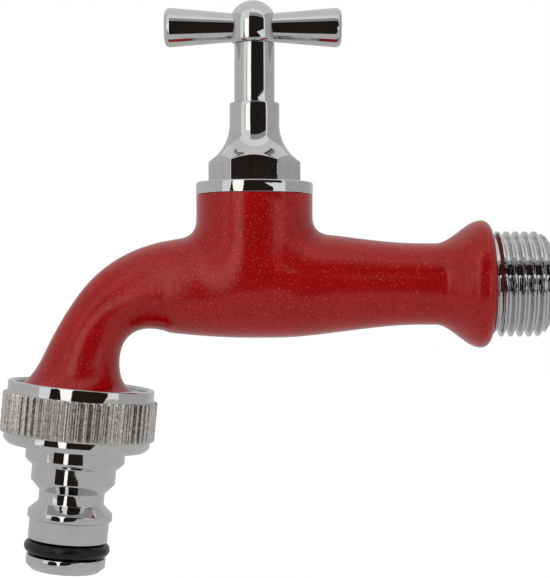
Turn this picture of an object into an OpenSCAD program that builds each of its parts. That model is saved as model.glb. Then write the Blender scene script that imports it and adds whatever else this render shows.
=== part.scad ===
// Hose tap: wall-mounted bib tap with a rising spindle, a T-handle and a hose nose on a union nut.
// The origin is on the inlet's axis at the shoulder that meets the wall fitting.
// +X runs along the inlet into the wall, +Z is up and the spout leans out along -X.

/* [Inlet] */
// Outside diameter of the inlet thread
inlet_thread_d = 20.955; // [20.5:0.05:21.5]
// Pitch of the inlet thread
inlet_pitch = 1.814; // [1.6:0.002:2]
// Depth of the inlet thread
inlet_thread_depth = 1.15; // [0.8:0.05:1.3]
// Length of the threaded inlet
inlet_l = 11.4; // [10:0.1:13]
// Chamfer on the inlet's end
inlet_chamfer = 1.1; // [0.6:0.1:1.6]
// Bore of the inlet
inlet_bore_d = 13; // [10:0.5:14.5]

/* [Barrel] */
// Distance from the wall shoulder to the neck's axis
reach = 46.8; // [44:0.1:52]
// Diameter of the body below the neck
belly_d = 20.9; // [20:0.1:22.5]
// Diameter of the barrel's waist
waist_d = 16.2; // [15.5:0.1:18]
// Distance from the neck's axis to the waist
waist_x = 33; // [31:0.5:34]
// Largest diameter of the bell at the wall
bell_d = 25.3; // [24:0.1:28]
// Length of the bell's rounded rim
bell_rim = 1.9; // [1.4:0.1:2.4]

/* [Neck] */
// Diameter of the neck
neck_d = 23.1; // [22.6:0.1:25]
// Height of the neck's top above the inlet's axis
neck_h = 17.7; // [16.5:0.1:21]
// Size of the blend between the neck and the barrel
neck_blend = 3.4; // [2:0.1:4]
// Diameter of the bonnet thread
bonnet_thread_d = 18; // [17.4:0.1:18.6]

/* [Spout] */
// Horizontal distance from the neck's axis to the outlet's axis
outlet_x = 34.3; // [32:0.1:38]
// Depth of the outlet's shoulder below the inlet's axis
outlet_drop = 20; // [18:0.1:26]
// Lean of the outlet away from vertical
outlet_tilt = 5.3; // [0:0.1:10]
// Sideways lean of the flare past the outlet's axis
flare_shift = 0.7; // [0:0.1:1]
// Diameter of the spout at its narrowest
throat_d = 12.8; // [12.2:0.1:14]
// Diameter of the flare where it enters the nut
flare_d = 22.2; // [21.5:0.1:23]
// Pitch of the outlet thread
outlet_pitch = 1.814; // [1.6:0.002:2]
// Length of the threaded outlet
outlet_l = 6.8; // [6:0.1:7.2]
// Bore of the spout and the outlet
spout_bore_d = 8.6; // [7:0.1:9]

/* [Valve seat] */
// Bore of the valve seat
seat_d = 9; // [8:0.1:9.6]
// Height of the seat's rim above the inlet's axis
seat_z = 2.4; // [2:0.1:3]
// Thickness of the wall under the seat
seat_wall = 3.1; // [2.4:0.1:4]
// Height of the seat's rim above the chamber floor
seat_rise = 0.9; // [0.5:0.1:1.2]
// Diameter of the chamber above the seat
chamber_d = 16.4; // [15.6:0.1:17]
// Thickness of the washer that closes the seat
washer_thick = 2.4; // [2:0.1:3]
// Thickness of the jumper's disc
jumper_disc_h = 1.5; // [1.2:0.1:2]
// Length of the jumper's stem
jumper_stem_l = 6; // [5:0.1:6.4]
// Radius of the jumper's stem
jumper_stem_r = 2.6; // [2.4:0.05:2.8]

/* [Bonnet] */
// Diameter of the bonnet's flange
flange_d = 23.2; // [22.8:0.1:26]
// Thickness of the bonnet's flange
flange_h = 2.4; // [1.8:0.1:3]
// Width of the hexagon across its flats
hex_af = 15.9; // [15:0.1:17]
// Height of the hexagon's corners
hex_h = 4.1; // [3.5:0.1:4.6]
// Diameter of the bonnet's top
bonnet_top_d = 9.9; // [9.7:0.05:10.6]
// Height of the bonnet above its flange's seat
bonnet_h = 18.2; // [17:0.1:20]
// Radius of the concave shoulder
shoulder_r = 9; // [8:0.1:10]
// Length of the bonnet's thread
bonnet_thread_l = 8; // [7:0.1:9]
// Pitch of the bonnet's thread
bonnet_pitch = 1.5; // [1.3:0.05:1.8]
// Thickness of the gasket under the flange
gasket_h = 0.8; // [0.6:0.05:1.2]

/* [Spindle] */
// Diameter of the spindle's stem
stem_d = 8; // [7.6:0.05:8.2]
// Height of the handle's seat above the bonnet
stem_show = 11.9; // [8:0.1:14]
// Outside diameter of the spindle's thread
spindle_thread_d = 11; // [10.6:0.1:11.4]
// Pitch of the spindle's thread, which is its rise for one turn
spindle_pitch = 1.75; // [1.5:0.05:2]
// Turns from closed to fully open
spindle_turns = 3; // [2:0.25:3]
// Length of the spindle's thread
spindle_thread_l = 9.5; // [8:0.1:10]
// Section of the spindle's sealing rings
ring_section = 1.5; // [1.3:0.05:1.6]

/* [Handle] */
// Diameter of the ball hub
hub_d = 9.3; // [9:0.1:11]
// Height of the hub's cylindrical part below the ball's centre
hub_skirt = 3.9; // [3.6:0.1:5]
// Length of each arm from the hub's axis
arm_l = 17.55; // [14:0.05:24]
// Diameter of an arm beside the hub
arm_root_d = 5.7; // [5:0.1:6.4]
// Diameter of an arm's end
arm_end_d = 7.95; // [7:0.05:9]
// Rounding of an arm's end
arm_round = 1.1; // [0.6:0.1:1.6]
// Distance of the arms' axis below the ball's centre
arm_drop = 0.75; // [0:0.05:1]
// Distance that the handle sits off the spindle's axis
handle_shift = 0.3; // [0:0.05:0.4]

/* [Union nut] */
// Diameter of the nut over its knurl
knurl_d = 30.6; // [29.8:0.1:33]
// Thickness of the nut's wall from its thread to the knurl's crests
nut_wall = 1.98; // [1.7:0.02:2.4]
// Number of knurl ridges
knurl_count = 60; // [40:1:72]
// Depth of the knurl
knurl_depth = 0.55; // [0.3:0.05:0.6]
// Width of the knurled band
knurl_h = 7.9; // [7:0.1:9]
// Height of the plain rim above the knurl
rim_top_h = 2.25; // [1.8:0.05:3]
// Height of the plain rim below the knurl
rim_low_h = 2.2; // [1.8:0.05:3]
// Step from the knurl down to the upper rim, on the radius
rim_step = 0.8; // [0.6:0.05:1]
// Turns that take the nut off the outlet
nut_turns = 3.5; // [2:0.25:3.5]

/* [Nose] */
// Diameter of the nose's collar
collar_d = 19.7; // [19:0.1:21]
// Length of the collar below the nut
collar_l = 3.7; // [3:0.1:5]
// Diameter of the nose's step
step_d = 16.7; // [16.4:0.1:17.4]
// Length of the step
step_l = 3.2; // [2.5:0.1:4]
// Diameter of the latch groove
groove_d = 13; // [12.5:0.1:13.6]
// Length of the latch groove's floor
groove_l = 2.2; // [1.8:0.1:3]
// Length of the cone on each side of the groove
groove_cone_l = 2; // [1.6:0.1:2.4]
// Diameter of the bead below the groove
bead_d = 16.8; // [16.4:0.1:17.2]
// Length of the bead
bead_l = 1.6; // [1.2:0.1:2.2]
// Diameter of the nose's barrel
nose_d = 15.8; // [15.4:0.1:16.2]
// Length of the barrel above the sealing ring
nose_l = 4; // [3:0.1:5]
// Outside diameter of the nose's sealing ring
nose_ring_d = 17; // [16.8:0.1:17.4]
// Section of the nose's sealing ring
nose_ring_section = 2.6; // [2.4:0.05:2.8]
// Length of the lip below the sealing ring
lip_l = 2.9; // [2.2:0.1:3.5]
// Chamfer on the lip
lip_chamfer = 1.1; // [0.6:0.1:1.4]
// Bore of the nose
nose_bore_d = 9.6; // [8:0.1:10]

/* [Fits] */
// Radial clearance of parts that turn or slide in each other
run_gap = 0.06; // [0.04:0.01:0.1]
// Clearance between threads that screw together
thread_gap = 0.1; // [0.06:0.01:0.15]
// Clearance of pieces held in a pocket
seat_gap = 0.05; // [0.02:0.01:0.1]

/* [Hidden] */
// Smoothness of the turned surfaces
$fn = 72;

// Points around half of a ring of the casting's skin
half_ring = 24;
ring_pts = 2 * half_ring;
// Rings from the junction's seams to each arm
barrel_blend_rings = 9;
neck_blend_rings = 6;
spout_blend_rings = 8;
// Half turns that find the skin's surface along a ray
search_steps = 16;
search_far = 26;

belly_r = belly_d / 2;
waist_r = waist_d / 2;
bell_r = bell_d / 2;
neck_r = neck_d / 2;
// The body's centre line sinks a little below the inlet's axis under the neck
belly_z = -0.25;
shoulder_z = -0.5;
// The belly stops narrowing this far towards the wall
belly_x = 5;
// The sweep of the spout starts here, with this radius
shoulder_x = -17;
shoulder_r_end = belly_r - 1.3;
// The barrel's own rings start here
barrel_x = 18;
bell_start = waist_x + 3;
bell_x = reach - bell_rim;
// The bell's rim falls to the thread's outside
rim_end_r = inlet_thread_d / 2 + 0.05;
// The neck's rings end just under its top
neck_ring_z = neck_h - 3.7;
// The neck narrows to a rounded end below this height
neck_core_z = 3;
neck_core_slope = 1.15;

// Outlet: a point on its axis at the nut's top, and the direction back up into the spout
outlet_p = [-outlet_x, 0, -outlet_drop];
outlet_up = [sin(outlet_tilt), 0, cos(outlet_tilt)];
// The flare ends a little inside the nut's mouth, where the thread's core takes over
flare_sink = 0.6;
flare_p = outlet_p - flare_sink * outlet_up - [flare_shift, 0, 0];
spout_a = [shoulder_x, 0, shoulder_z];
spout_b = [mix(shoulder_x, -outlet_x, 0.607), 0, shoulder_z - 0.2];
spout_c = flare_p + 0.65 * outlet_drop * outlet_up;
throat_r = throat_d / 2;
flare_r = flare_d / 2;
// Share of the spout's length at which it is narrowest
throat_t = 0.58;
// The flare is a gentle swell and then a quick lip
flare_lip = 1.9;
flare_swell = flare_r - throat_r - flare_lip;
spout_rings = 15;

// Places of the parts along the outlet's axis, measured down from the nut's top
nut_h = rim_top_h + knurl_h + rim_low_h;
nut_bore_r = knurl_d / 2 - nut_wall;
outlet_thread_r = nut_bore_r - thread_gap;
outlet_root_r = outlet_thread_r - 1.1;
outlet_relief = 1.2;
outlet_end = outlet_relief + outlet_l;
washer_h = 1.4;
washer_z = outlet_end;
nose_flange_h = 1.3;
nose_flange_z = washer_z + washer_h;
nut_floor_z = nose_flange_z + nose_flange_h;
nut_hole_r = collar_d / 2 + run_gap;
nose_flange_r = nut_bore_r - 0.5;
nut_drop = nut_turns * outlet_pitch;

// Heights of the bonnet and the parts inside it
flange_top = neck_h + flange_h;
bonnet_top = neck_h + bonnet_h;
bonnet_bottom = neck_h - bonnet_thread_l;
// The concave shoulder runs out at the hexagon's corners, which sets its centre's height
hex_r = hex_af / 2 / cos(30);
shoulder_out = bonnet_top_d / 2 + shoulder_r;
shoulder_z0 = flange_top + hex_h + sqrt(sq(shoulder_r) - sq(shoulder_out - hex_r));
gasket_step = 0.7;
stem_r = stem_d / 2;
stem_bore_r = stem_r + run_gap;
spindle_r = spindle_thread_d / 2;
spindle_root_r = spindle_r - 0.8;
spindle_bore_r = spindle_r + thread_gap;
valve_lift = spindle_turns * spindle_pitch;
// The jumper hangs in the skirt under the bonnet's thread
skirt_r = bonnet_thread_d / 2 - 2;
skirt_h = 2.8;

// Valve parts, stacked on the seat
seat_washer_r = seat_d / 2 + 1.6;
jumper_disc_z = seat_z + washer_thick;
jumper_top = jumper_disc_z + jumper_disc_h;
jumper_stud_r = 1.5;
jumper_nut_af = 5.5;
jumper_nut_h = 2.2;
clip_section = 0.7;
clip_z = jumper_top + 4.2;
socket_r = jumper_stem_r + run_gap;
spindle_bottom = jumper_top;
spindle_thread_z = spindle_bottom + 2.2;
spindle_thread_top = spindle_thread_z + spindle_thread_l;
spindle_cavity_top = spindle_thread_top + valve_lift + 0.5;
ring_low_z = spindle_cavity_top + 1.6;
ring_high_z = ring_low_z + 2.6;
ring_groove_w = ring_section + 0.3;
ring_root_r = stem_bore_r - ring_section;

// Handle and the square end that carries it
handle_z = bonnet_top + stem_show;
hub_r = hub_d / 2;
hub_foot = 0.65;
ball_z = handle_z + hub_skirt;
tang_w = 5;
tang_h = 5;
grub_r = 1.25;
grub_z = handle_z + 2.2;

// Inlet thread
inlet_r = inlet_thread_d / 2;
inlet_root_r = inlet_r - inlet_thread_depth;
inlet_bore_r = inlet_bore_d / 2;
// The inlet's bore stops at the wall around the chamber
inlet_bore_end = chamber_d / 2 + 2.6;
inlet_land = 0.35;

// Nose, measured down from the nut's underside
collar_end = nut_h + collar_l;
step_end = collar_end + step_l;
groove_start = step_end + groove_cone_l;
groove_end = groove_start + groove_l;
bead_start = groove_end + groove_cone_l - 0.2;
bead_end = bead_start + bead_l;
barrel_end = bead_end + nose_l;
ring_seat_w = nose_ring_section + 0.5;
lip_start = barrel_end + ring_seat_w;
nose_end = lip_start + lip_l;
ring_seat_r = nose_ring_d / 2 - nose_ring_section - 0.02;
collar_chamfer = 1;

// Mathematics of the casting's skin

function ease(t) = let (c = min(1, max(0, t))) c * c * (3 - 2 * c);
function mix(a, b, t) = a + (b - a) * t;
function unit(v) = v / norm(v);
function sq(v) = v * v;

// Two distances joined with a smooth blend of the given size
function blend_min(a, b, size) =
  let (h = max(0, size - abs(a - b)) / size) min(a, b) - h * h * size / 4;

// Radius of the barrel and belly at a distance from the neck's axis
function rim_r(x) = let (u = min(1, (x - bell_x) / bell_rim))
  bell_r - (bell_r - rim_end_r) * (1 - sqrt(max(0, 1 - u * u)));
function barrel_r(x) =
  x > bell_x ? rim_r(x) :
  x > bell_start ? mix(waist_r, bell_r, ease((x - bell_start) / (bell_x - bell_start))) :
  x > 0 ? mix(waist_r, belly_r, ease((waist_x - x) / (waist_x - belly_x))) :
  belly_r - (belly_r - shoulder_r_end) * sq(x / shoulder_x);
// Height of the body's centre line at a distance from the neck's axis
function barrel_z(x) =
  x > 0 ? belly_z * ease(1 - x / barrel_x) : mix(belly_z, shoulder_z, sq(x / shoulder_x));

// Distances outside the lying tube and outside the upright neck
function tube_gap(p) = norm([p.y, p.z - barrel_z(p.x)]) - barrel_r(p.x);
function neck_gap(p) = norm([p.x, p.y, max(0, neck_core_z - p.z) * neck_core_slope]) - neck_r;
function skin_gap(p) = blend_min(tube_gap(p), neck_gap(p), neck_blend);

// Distance along a ray at which the skin is crossed
function cross_skin(from, dir, near = 0, far = search_far, n = search_steps) =
  let (mid = (near + far) / 2)
  n == 0 ? mid :
  skin_gap(from + mid * dir) < 0 ? cross_skin(from, dir, mid, far, n - 1) :
  cross_skin(from, dir, near, mid, n - 1);
function on_skin(from, dir) = from + cross_skin(from, dir) * dir;

// Spout's centre line, its direction and its radius, for t from 0 to 1
function spout_p(t) = let (s = 1 - t)
  s * s * s * spout_a + 3 * s * s * t * spout_b + 3 * s * t * t * spout_c + t * t * t * flare_p;
function spout_dir(t) = let (s = 1 - t)
  unit(s * s * (spout_b - spout_a) + 2 * s * t * (spout_c - spout_b) + t * t * (flare_p - spout_c));
function spout_r(t) = let (u = max(0, t - throat_t) / (1 - throat_t))
  t < throat_t ? throat_r + (shoulder_r_end - throat_r) * pow(1 - t / throat_t, 1.5) :
  throat_r + flare_swell * u * u + flare_lip * pow(u, 10);

// Three seams fan out from the Y axis: towards the wall and up, the spout and up, and down
seam_wall = unit([1, 0, 1]);
seam_spout = unit([-1, 0, 1]);
seam_down = [0, 0, -1];
side = [0, 1, 0];
up = [0, 0, 1];

// Direction at a step of a ring whose first half bulges one way and second half the other
function ring_dir(i, one, other) =
  let (a = 360 * i / ring_pts) cos(a) * side + (a <= 180 ? sin(a) * one : -sin(a) * other);
function seam_pts(towards) =
  [for (i = [1 : half_ring - 1]) let (a = 180 * i / half_ring)
    on_skin([0, 0, belly_z], cos(a) * side + sin(a) * towards)];

// Rings from a pair of seams out to an arm's first true ring
function blend_rings(seam_a, seam_b, end_p, end_a, end_b, n) =
  [for (k = [1 : n]) let (u = k / n)
    for (i = [0 : ring_pts - 1])
      on_skin(mix([0, 0, belly_z], end_p, u),
        unit(mix(ring_dir(i, seam_a, seam_b), ring_dir(i, end_a, end_b), ease(u))))];
// A plain ring of a given radius
function round_ring(centre, radius, one) =
  [for (i = [0 : ring_pts - 1]) centre + radius * ring_dir(i, one, -one)];

// Stations along the barrel, closer together on the bell's rim
barrel_stations = concat(
  [for (k = [1 : 5]) mix(barrel_x, bell_start, k / 5)],
  [for (k = [1 : 8]) mix(bell_start, bell_x, k / 8)],
  [for (k = [1 : 6]) bell_x + bell_rim * sin(15 * k)]
);

barrel_rings = concat(
  blend_rings(seam_wall, seam_down, [barrel_x, 0, 0], up, -up, barrel_blend_rings),
  [for (x = barrel_stations) each round_ring([x, 0, barrel_z(x)], barrel_r(x), up)]
);
neck_rings = concat(
  blend_rings(seam_wall, seam_spout, [0, 0, neck_ring_z], [1, 0, 0], [-1, 0, 0], neck_blend_rings),
  round_ring([0, 0, neck_h], neck_r, [1, 0, 0])
);
spout_rings_pts = concat(
  blend_rings(seam_spout, seam_down, spout_a, up, -up, spout_blend_rings),
  [for (k = [1 : spout_rings]) let (t = k / spout_rings, d = spout_dir(t))
    each round_ring(spout_p(t), spout_r(t), [d.z, 0, -d.x])]
);

skin_pts = concat(
  [on_skin([0, 0, belly_z], side), on_skin([0, 0, belly_z], -side)],
  seam_pts(seam_wall), seam_pts(seam_spout), seam_pts(seam_down),
  barrel_rings, neck_rings, spout_rings_pts
);

// Index of a point on a seam, whose two ends are shared by all three seams
function seam_index(seam, i) =
  i == 0 ? 0 : i == half_ring ? 1 : 2 + seam * (half_ring - 1) + i - 1;
// Index of a point on the ring before an arm's first ring, made of two seams
function start_index(one, other, i) = let (j = i % ring_pts)
  j <= half_ring ? seam_index(one, j) : seam_index(other, ring_pts - j);
function arm_index(one, other, base, ring, i) =
  ring == 0 ? start_index(one, other, i) : base + (ring - 1) * ring_pts + i % ring_pts;
// Faces of one arm: its bands of triangles and its flat end
function arm_faces(one, other, base, rings, flip) = concat(
  [for (r = [1 : rings], i = [0 : ring_pts - 1])
    let (
      a = arm_index(one, other, base, r - 1, i),
      b = arm_index(one, other, base, r - 1, i + 1),
      c = arm_index(one, other, base, r, i + 1),
      d = arm_index(one, other, base, r, i)
    )
    each (flip ? [[a, b, c], [a, c, d]] : [[a, c, b], [a, d, c]])],
  [[for (i = [0 : ring_pts - 1])
    arm_index(one, other, base, rings, flip ? i : ring_pts - 1 - i)]]
);

first_ring = 2 + 3 * (half_ring - 1);
neck_base = first_ring + len(barrel_rings);
spout_base = neck_base + len(neck_rings);
skin_faces = concat(
  arm_faces(0, 2, first_ring, len(barrel_rings) / ring_pts, false),
  arm_faces(0, 1, neck_base, len(neck_rings) / ring_pts, true),
  arm_faces(1, 2, spout_base, len(spout_rings_pts) / ring_pts, true)
);

// Moves a part drawn about the neck's axis to its place
module at_neck() { translate([-reach, 0, 0]) children(); }
// Moves a part drawn downwards from the nut's top, along Z, to the outlet
module at_outlet() {
  translate([-reach, 0, 0] + outlet_p) rotate([0, outlet_tilt, 0]) children();
}
module at_handle() { translate([-reach - handle_shift, 0, 0]) children(); }

// A rod or bore between two points
module rod(from, to, r) {
  d = to - from;
  translate(from) rotate([0, acos(d.z / norm(d)), atan2(d.y, d.x)]) cylinder(h = norm(d), r = r);
}
// Flat ring lying from z upwards
module ring(outer_r, inner_r, h, z) {
  translate([0, 0, z]) difference() {
    cylinder(h = h, r = outer_r);
    translate([0, 0, -1]) cylinder(h = h + 2, r = inner_r);
  }
}
// Round ring of rubber or wire
module o_ring(mean_r, section, z) {
  translate([0, 0, z]) rotate_extrude() translate([mean_r, 0]) circle(d = section, $fn = 32);
}
// One thread ridge with a narrow crest
module thread_ridge(root_r, crest_r, pitch, z) {
  translate([0, 0, z]) rotate_extrude() polygon([
    [root_r - 0.6, -pitch * 0.42], [root_r, -pitch * 0.42], [crest_r, -pitch * 0.09],
    [crest_r, pitch * 0.09], [root_r, pitch * 0.42], [root_r - 0.6, pitch * 0.42]
  ]);
}

// Thread of the inlet, drawn along Z from the shoulder
module inlet_thread() {
  count = floor((inlet_l - 1.2) / inlet_pitch);
  translate([0, 0, -2]) cylinder(h = inlet_l + 2 - inlet_chamfer, r = inlet_root_r);
  translate([0, 0, inlet_l - inlet_chamfer])
    cylinder(h = inlet_chamfer, r1 = inlet_root_r, r2 = inlet_root_r - inlet_chamfer / 2);
  // Bare land where the fitting's first thread starts
  translate([0, 0, -1]) cylinder(h = 1 + inlet_land, r = inlet_r);
  for (k = [0 : count - 1])
    thread_ridge(inlet_root_r, inlet_r, inlet_pitch, inlet_land + (k + 0.6) * inlet_pitch);
}

// Thread of the outlet, drawn downwards along Z
module outlet_thread() {
  count = floor(outlet_l / outlet_pitch);
  translate([0, 0, -outlet_end]) cylinder(h = outlet_end - flare_sink + 0.05, r = outlet_root_r);
  for (k = [0 : count - 1])
    thread_ridge(outlet_root_r, outlet_thread_r, outlet_pitch,
      -outlet_end + (k + 0.5) * outlet_pitch);
}

// Way for the water: inlet, port under the seat, chamber above it and spout
module waterway() {
  bore_r = spout_bore_d / 2;
  bend_a = spout_p(0.1);
  bend_b = spout_p(0.55);
  bend_c = outlet_p + 8.5 * outlet_up;
  rod([inlet_bore_end, 0, 0], [reach + inlet_l + 1, 0, 0], inlet_bore_r);
  port_r = seat_d / 2 - 0.8;
  port_floor = belly_z - belly_r + seat_wall;
  rod([inlet_bore_end + 3, 0, -1.6], [1, 0, port_floor + 2.7], port_r);
  translate([0, 0, port_floor]) cylinder(h = seat_z - port_floor + 1.4, r = seat_d / 2);
  translate([0, 0, seat_z]) cylinder(h = bonnet_bottom - seat_z + 0.5, r = chamber_d / 2);
  ring(chamber_d / 2, seat_d / 2 + 1.2, seat_rise + 0.1, seat_z - seat_rise);
  translate([0, 0, bonnet_bottom - 1]) cylinder(h = neck_h, r = bonnet_thread_d / 2 + thread_gap);
  rod([1.8 - chamber_d / 2, 0, seat_z + 4.8], bend_a, bore_r - 0.4);
  translate(bend_a) sphere(r = bore_r - 0.2);
  rod(bend_a, bend_b, bore_r - 0.6);
  translate(bend_b) sphere(r = bore_r - 0.4);
  rod(bend_b, bend_c, bore_r - 0.5);
  translate(bend_c) sphere(r = bore_r - 0.2);
  rod(bend_c, outlet_p - (outlet_end + 1) * outlet_up, bore_r);
}

module tap_body() {
  color("firebrick") at_neck() difference() {
    union() {
      polyhedron(skin_pts, skin_faces, convexity = 8);
      translate([reach, 0, 0]) rotate([0, 90, 0]) inlet_thread();
      translate(outlet_p) rotate([0, outlet_tilt, 0]) outlet_thread();
    }
    waterway();
    // Step that the gasket lies in
    translate([0, 0, neck_h - gasket_h]) cylinder(h = 2, r = bonnet_thread_d / 2 + gasket_step);
  }
}

// Half section of the bonnet's outside above the flange
module bonnet_shoulder() {
  difference() {
    translate([0, flange_top]) square([shoulder_out, shoulder_z0 - flange_top]);
    translate([shoulder_out, shoulder_z0]) circle(r = shoulder_r);
  }
  translate([0, shoulder_z0 - 1]) square([bonnet_top_d / 2, bonnet_top - shoulder_z0 + 0.7]);
  translate([0, bonnet_top - 0.3]) polygon([
    [0, 0], [bonnet_top_d / 2, 0], [bonnet_top_d / 2 - 0.3, 0.3], [0, 0.3]
  ]);
}

module bonnet() {
  thread_r = bonnet_thread_d / 2;
  root_r = thread_r - bonnet_pitch * 0.53;
  color("gainsboro") at_neck() difference() {
    union() {
      intersection() {
        rotate_extrude() bonnet_shoulder();
        translate([0, 0, neck_h]) cylinder(h = bonnet_h, r = hex_r, $fn = 6);
      }
      translate([0, 0, neck_h]) cylinder(h = flange_h - 0.4, d = flange_d);
      translate([0, 0, flange_top - 0.4])
        cylinder(h = 0.4, r1 = flange_d / 2, r2 = flange_d / 2 - 0.4);
      translate([0, 0, bonnet_bottom]) cylinder(h = bonnet_thread_l + 1, r = root_r);
      for (k = [0 : floor((bonnet_thread_l - gasket_h) / bonnet_pitch) - 1])
        thread_ridge(root_r, thread_r, bonnet_pitch, bonnet_bottom + (k + 0.5) * bonnet_pitch);
    }
    translate([0, 0, bonnet_bottom - 1]) cylinder(h = skirt_h + 1, r = skirt_r);
    translate([0, 0, bonnet_bottom]) cylinder(h = spindle_cavity_top - bonnet_bottom, r = spindle_bore_r);
    translate([0, 0, bonnet_bottom]) cylinder(h = bonnet_h + bonnet_thread_l + 1, r = stem_bore_r);
  }
}

module bonnet_gasket() {
  color("saddlebrown") at_neck()
    ring(bonnet_thread_d / 2 + gasket_step - seat_gap, bonnet_thread_d / 2 - 0.7, gasket_h, neck_h - gasket_h);
}

module spindle() {
  color("silver") at_neck() difference() {
    union() {
      translate([0, 0, spindle_bottom]) cylinder(h = 2.4, r = spindle_root_r);
      translate([0, 0, spindle_thread_z]) cylinder(h = spindle_thread_l, r = spindle_root_r);
      for (k = [0 : floor(spindle_thread_l / spindle_pitch) - 1])
        thread_ridge(spindle_root_r, spindle_r, spindle_pitch,
          spindle_thread_z + (k + 0.5) * spindle_pitch);
      translate([0, 0, spindle_thread_top - 0.5])
        cylinder(h = handle_z - spindle_thread_top + 0.5, r = stem_r);
      translate([-tang_w / 2, -tang_w / 2, handle_z - 0.5]) cube([tang_w, tang_w, tang_h + 0.5]);
    }
    for (z = [ring_low_z, ring_high_z])
      ring(stem_r + 1, ring_root_r, ring_groove_w, z - ring_groove_w / 2);
    translate([0, 0, spindle_bottom - 1]) cylinder(h = jumper_stem_l + 1.6, r = socket_r);
    // Groove for the clip that keeps the jumper in
    translate([0, 0, clip_z - clip_section / 2 - 0.1])
      cylinder(h = clip_section + 0.2, r = socket_r + clip_section / 2);
  }
}

module spindle_o_ring_upper() {
  color("dimgray") at_neck() o_ring(stem_bore_r - ring_section / 2, ring_section - 0.04, ring_high_z);
}
module spindle_o_ring_lower() {
  color("dimgray") at_neck() o_ring(stem_bore_r - ring_section / 2, ring_section - 0.04, ring_low_z);
}

// One conical arm along X, on the side given by 1 or -1
module arm(way) {
  rotate([0, 90 * way, 0]) rotate_extrude() union() {
    polygon([
      [0, 0], [arm_root_d / 2, 0], [arm_root_d / 2, hub_r - 0.5],
      [arm_end_d / 2, arm_l - arm_round], [0, arm_l - arm_round]
    ]);
    translate([0, arm_l - arm_round]) square([arm_end_d / 2 - arm_round, arm_round]);
    intersection() {
      translate([arm_end_d / 2 - arm_round, arm_l - arm_round]) circle(r = arm_round);
      translate([0, arm_l - arm_round]) square([arm_end_d, arm_round]);
    }
  }
}

// Half section of the hub: a ball on a short skirt with a chamfered foot
module hub_profile() {
  intersection() {
    circle(r = hub_r);
    square(hub_r);
  }
  polygon([
    [0, 0], [hub_r, 0], [hub_r, hub_foot - hub_skirt], [hub_r - hub_foot, -hub_skirt],
    [0, -hub_skirt]
  ]);
}

module handle() {
  color("gainsboro") at_handle() difference() {
    union() {
      translate([0, 0, ball_z]) rotate_extrude() hub_profile();
      for (way = [1, -1]) translate([0, 0, ball_z - arm_drop]) arm(way);
    }
    translate([handle_shift - tang_w / 2 - seat_gap, -tang_w / 2 - seat_gap, handle_z - 1])
      cube([tang_w + 2 * seat_gap, tang_w + 2 * seat_gap, tang_h + 1.2]);
    translate([handle_shift, 0, grub_z]) rotate([-90, 0, 0]) cylinder(h = hub_d, r = grub_r + seat_gap);
  }
}

module handle_grub_screw() {
  len = hub_r - tang_w / 2 - 0.5;
  color("dimgray") at_neck() translate([0, tang_w / 2, grub_z]) rotate([-90, 0, 0]) difference() {
    cylinder(h = len, r = grub_r);
    translate([0, 0, len - 0.8]) cylinder(h = 1, d = 1.3, $fn = 6);
  }
}

module valve_jumper() {
  color("goldenrod") at_neck() difference() {
    union() {
      translate([0, 0, jumper_disc_z]) cylinder(h = jumper_disc_h, r = seat_washer_r + 0.3);
      translate([0, 0, jumper_top]) cylinder(h = jumper_stem_l, r = jumper_stem_r);
      translate([0, 0, seat_z - jumper_nut_h - 0.5])
        cylinder(h = jumper_disc_z - seat_z + jumper_nut_h + 1, r = jumper_stud_r);
    }
    ring(jumper_stem_r + 1, jumper_stem_r - clip_section / 2, clip_section + 0.2,
      clip_z - clip_section / 2 - 0.1);
  }
}

module jumper_clip() {
  color("silver") at_neck() o_ring(jumper_stem_r + run_gap / 2, clip_section - 0.1, clip_z);
}

module seat_washer() {
  color("black") at_neck() ring(seat_washer_r, jumper_stud_r + seat_gap, washer_thick, seat_z);
}

module seat_washer_nut() {
  color("goldenrod") at_neck() translate([0, 0, seat_z - jumper_nut_h]) difference() {
    cylinder(h = jumper_nut_h, d = jumper_nut_af / cos(30), $fn = 6);
    translate([0, 0, -1]) cylinder(h = jumper_nut_h + 2, r = jumper_stud_r + seat_gap);
  }
}

// Knurled band: ridges with rounded flanks all round one extruded outline
module knurl_band() {
  r = knurl_d / 2;
  pitch_a = 360 / knurl_count;
  linear_extrude(height = knurl_h) polygon([
    for (k = [0 : knurl_count - 1], s = [[-0.3, 1], [0.3, 1], [0.42, 0], [0.58, 0]])
      let (a = (k + s[0]) * pitch_a, rr = r - (1 - s[1]) * knurl_depth) [rr * cos(a), rr * sin(a)]
  ]);
}

module union_nut() {
  r_top = knurl_d / 2 - rim_step;
  color("gainsboro") at_outlet() difference() {
    union() {
      translate([0, 0, -rim_top_h]) cylinder(h = rim_top_h - 0.3, r = r_top);
      translate([0, 0, -0.3]) cylinder(h = 0.3, r1 = r_top, r2 = r_top - 0.3);
      translate([0, 0, -rim_top_h - knurl_h]) knurl_band();
      translate([0, 0, -nut_h + 0.9]) cylinder(h = rim_low_h - 0.9, r = r_top);
      translate([0, 0, -nut_h]) cylinder(h = 0.9, r1 = r_top - 0.9, r2 = r_top);
    }
    translate([0, 0, -nut_floor_z]) cylinder(h = nut_h, r = nut_bore_r);
    translate([0, 0, -nut_h - 1]) cylinder(h = nut_h, r = nut_hole_r);
  }
}

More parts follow.
